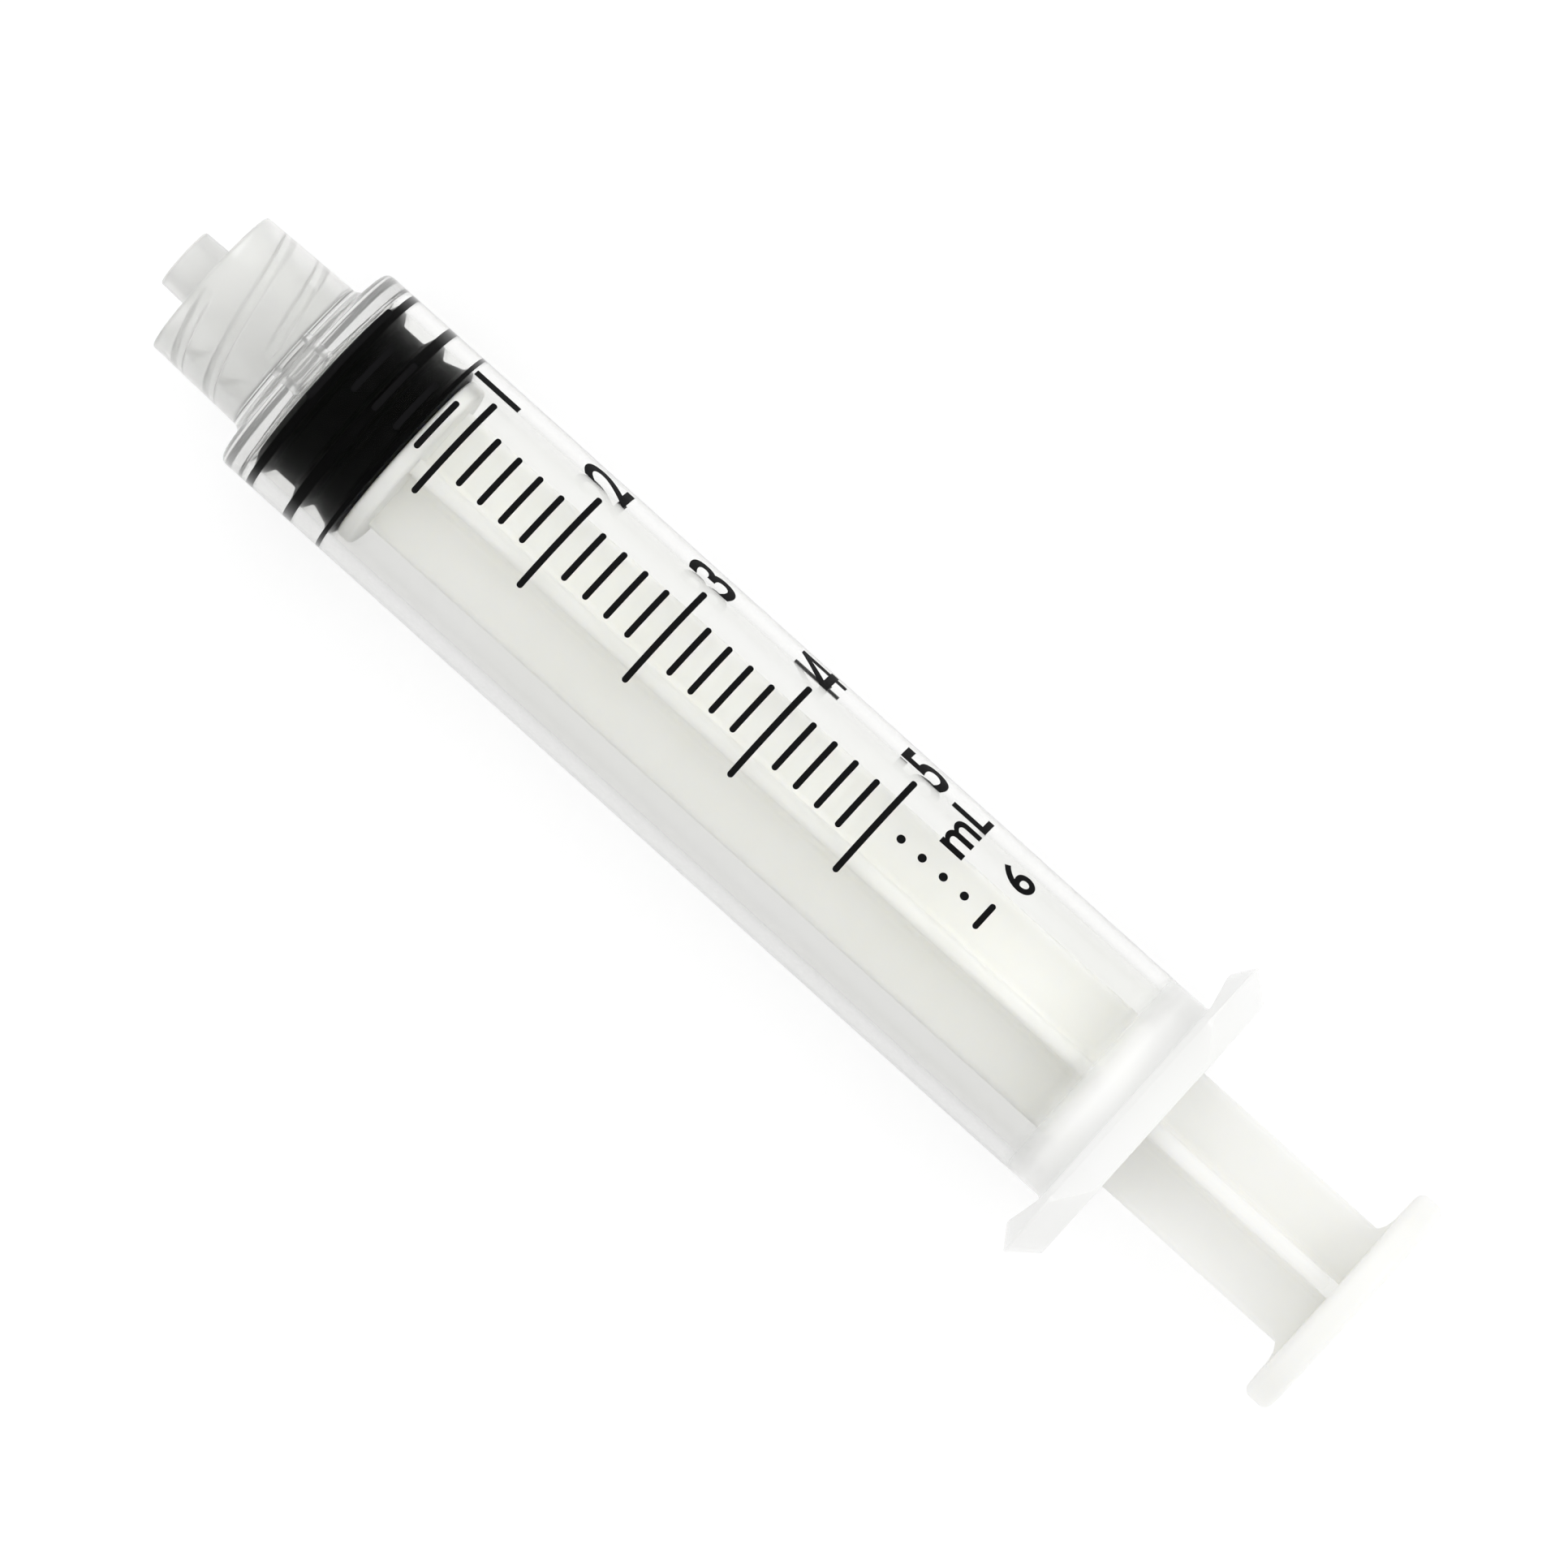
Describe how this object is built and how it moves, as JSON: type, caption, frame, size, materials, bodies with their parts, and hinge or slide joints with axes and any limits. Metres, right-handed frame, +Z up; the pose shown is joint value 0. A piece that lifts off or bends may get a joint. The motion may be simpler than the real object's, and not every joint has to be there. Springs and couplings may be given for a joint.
{
  "type": "luer lock syringe",
  "caption": "Luer lock syringe lying on its flange: graduated clear barrel with finger wings, black rubber stopper and sliding cross-ribbed plunger rod with a round thumb press.",
  "frame": {"origin": "on the surface that the syringe lies on, below the middle of its length", "axes": "+X along the syringe's axis from the luer tip to the thumb press, +Y along one finger wing, +Z up, square to the flats of the flange, with the printed scale on top and a little towards +Y"},
  "size_m": [0.0912, 0.022, 0.017],
  "materials": {
    "clear_plastic": "clear glossy moulded polypropylene, slightly milky",
    "black_rubber": "black butyl rubber with a thin film of silicone",
    "white_plastic": "off-white satin moulded polyethylene, slightly translucent",
    "black_ink": "matt black pad-printed ink"
  },
  "bodies": {
    "barrel": {"barrel": "clear_plastic", "scale_marks": "black_ink"},
    "stopper": {"stopper": "black_rubber"},
    "plunger": {"plunger_rod": "white_plastic"}
  },
  "joints": [
    {"name": "plunger_slide", "type": "slide", "parent": "barrel", "child": "stopper", "axis": [1, 0, 0], "range_m": [0, 0.05408]},
    {"name": "plunger_twist", "type": "hinge", "parent": "stopper", "child": "plunger", "pos_m": [-0.02842, 0, 0.0085], "axis": [1, 0, 0], "continuous": true}
  ]
}
